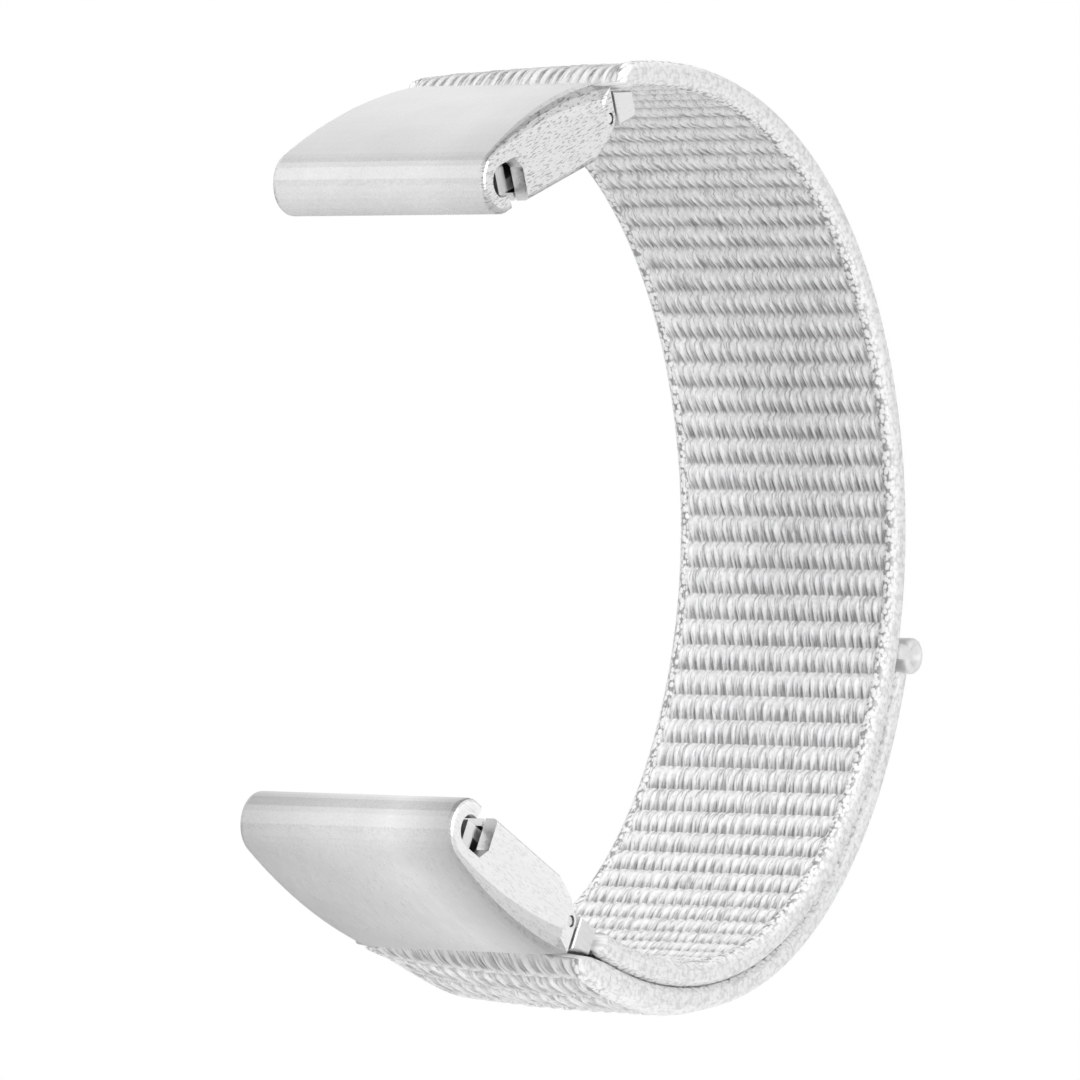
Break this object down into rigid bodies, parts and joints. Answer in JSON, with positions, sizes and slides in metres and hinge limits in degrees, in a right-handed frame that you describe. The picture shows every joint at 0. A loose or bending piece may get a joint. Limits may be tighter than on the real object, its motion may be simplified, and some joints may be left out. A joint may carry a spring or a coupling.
{
  "type": "nylon watch strap",
  "caption": "Woven nylon hook-and-loop watch strap in a worn loop, with a brushed steel quick-release connector at each end and a small grip on its tail.",
  "frame": {"origin": "centre of the wrist opening, on the strap's mid-width plane, level with the middle between the two spring bars and 14 mm behind them", "axes": "+X across the width, +Y towards the back of the wrist, +Z towards the upper (12 o'clock) connector"},
  "size_m": [0.022, 0.0667, 0.0765],
  "materials": {
    "cloth": "white woven nylon",
    "hooks": "white hook tape",
    "tab": "glossy white",
    "brushed": "brushed along the width",
    "steel": "plain satin",
    "spring_steel": "drawn wire"
  },
  "bodies": {
    "strap": {"band_webbing": "cloth", "upper_end_link": "brushed", "lower_end_link": "brushed"},
    "tail_lower_body": {"tail_lower": "cloth"},
    "tail_upper_body": {"tail_upper": "cloth", "hook_pad": "hooks", "pull_tab": "tab"},
    "upper_connector": {"upper_shell": "brushed", "upper_bar_tube": "steel", "upper_bar_spring": "spring_steel", "upper_latch_spring_left": "spring_steel", "upper_latch_spring_right": "spring_steel", "upper_latch_cover": "steel", "upper_cover_screw_left": "steel", "upper_cover_screw_right": "steel"},
    "upper_latch": {"upper_latch_slide": "steel"},
    "upper_tip_left": {"upper_bar_tip_left": "steel"},
    "upper_tip_right": {"upper_bar_tip_right": "steel"},
    "lower_connector": {"lower_shell": "brushed", "lower_bar_tube": "steel", "lower_bar_spring": "spring_steel", "lower_latch_spring_left": "spring_steel", "lower_latch_spring_right": "spring_steel", "lower_latch_cover": "steel", "lower_cover_screw_left": "steel", "lower_cover_screw_right": "steel"},
    "lower_latch": {"lower_latch_slide": "steel"},
    "lower_tip_left": {"lower_bar_tip_left": "steel"},
    "lower_tip_right": {"lower_bar_tip_right": "steel"}
  },
  "joints": [
    {"name": "upper_swivel", "type": "hinge", "parent": "strap", "child": "upper_connector", "pos_m": [0, -0.014, 0.032], "axis": [1, 0, 0], "range_deg": [-6, 30]},
    {"name": "upper_latch_travel", "type": "slide", "parent": "upper_connector", "child": "upper_latch", "axis": [0, 0.9135, 0.4067], "range_m": [0, 0.002], "stiffness_N_per_m": 300, "springref_m": -0.002, "deforming": ["upper_latch_spring_left", "upper_latch_spring_right"]},
    {"name": "upper_tip_left_travel", "type": "slide", "parent": "upper_connector", "child": "upper_tip_left", "axis": [1, 0, 0], "range_m": [0, 0.0021], "stiffness_N_per_m": 300, "springref_m": -0.002, "deforming": ["upper_bar_spring"]},
    {"name": "upper_tip_right_travel", "type": "slide", "parent": "upper_connector", "child": "upper_tip_right", "axis": [-1, 0, 0], "range_m": [0, 0.0021], "stiffness_N_per_m": 300, "springref_m": -0.002, "deforming": ["upper_bar_spring"]},
    {"name": "lower_swivel", "type": "hinge", "parent": "strap", "child": "lower_connector", "pos_m": [0, -0.014, -0.032], "axis": [-1, 0, 0], "range_deg": [-6, 30]},
    {"name": "lower_latch_travel", "type": "slide", "parent": "lower_connector", "child": "lower_latch", "axis": [0, 0.9135, -0.4067], "range_m": [0, 0.002], "stiffness_N_per_m": 300, "springref_m": -0.002, "deforming": ["lower_latch_spring_left", "lower_latch_spring_right"]},
    {"name": "lower_tip_left_travel", "type": "slide", "parent": "lower_connector", "child": "lower_tip_left", "axis": [1, 0, 0], "range_m": [0, 0.0021], "stiffness_N_per_m": 300, "springref_m": -0.002, "deforming": ["lower_bar_spring"]},
    {"name": "lower_tip_right_travel", "type": "slide", "parent": "lower_connector", "child": "lower_tip_right", "axis": [-1, 0, 0], "range_m": [0, 0.0021], "stiffness_N_per_m": 300, "springref_m": -0.002, "deforming": ["lower_bar_spring"]},
    {"name": "tail_root_peel", "type": "hinge", "parent": "strap", "child": "tail_lower_body", "pos_m": [0, -0.00908, -0.03763], "axis": [-1, 0, 0], "range_deg": [0, 80]},
    {"name": "tail_middle_peel", "type": "hinge", "parent": "tail_lower_body", "child": "tail_upper_body", "pos_m": [0, 0.01807, -0.03393], "axis": [-1, 0, 0], "range_deg": [0, 60]}
  ]
}
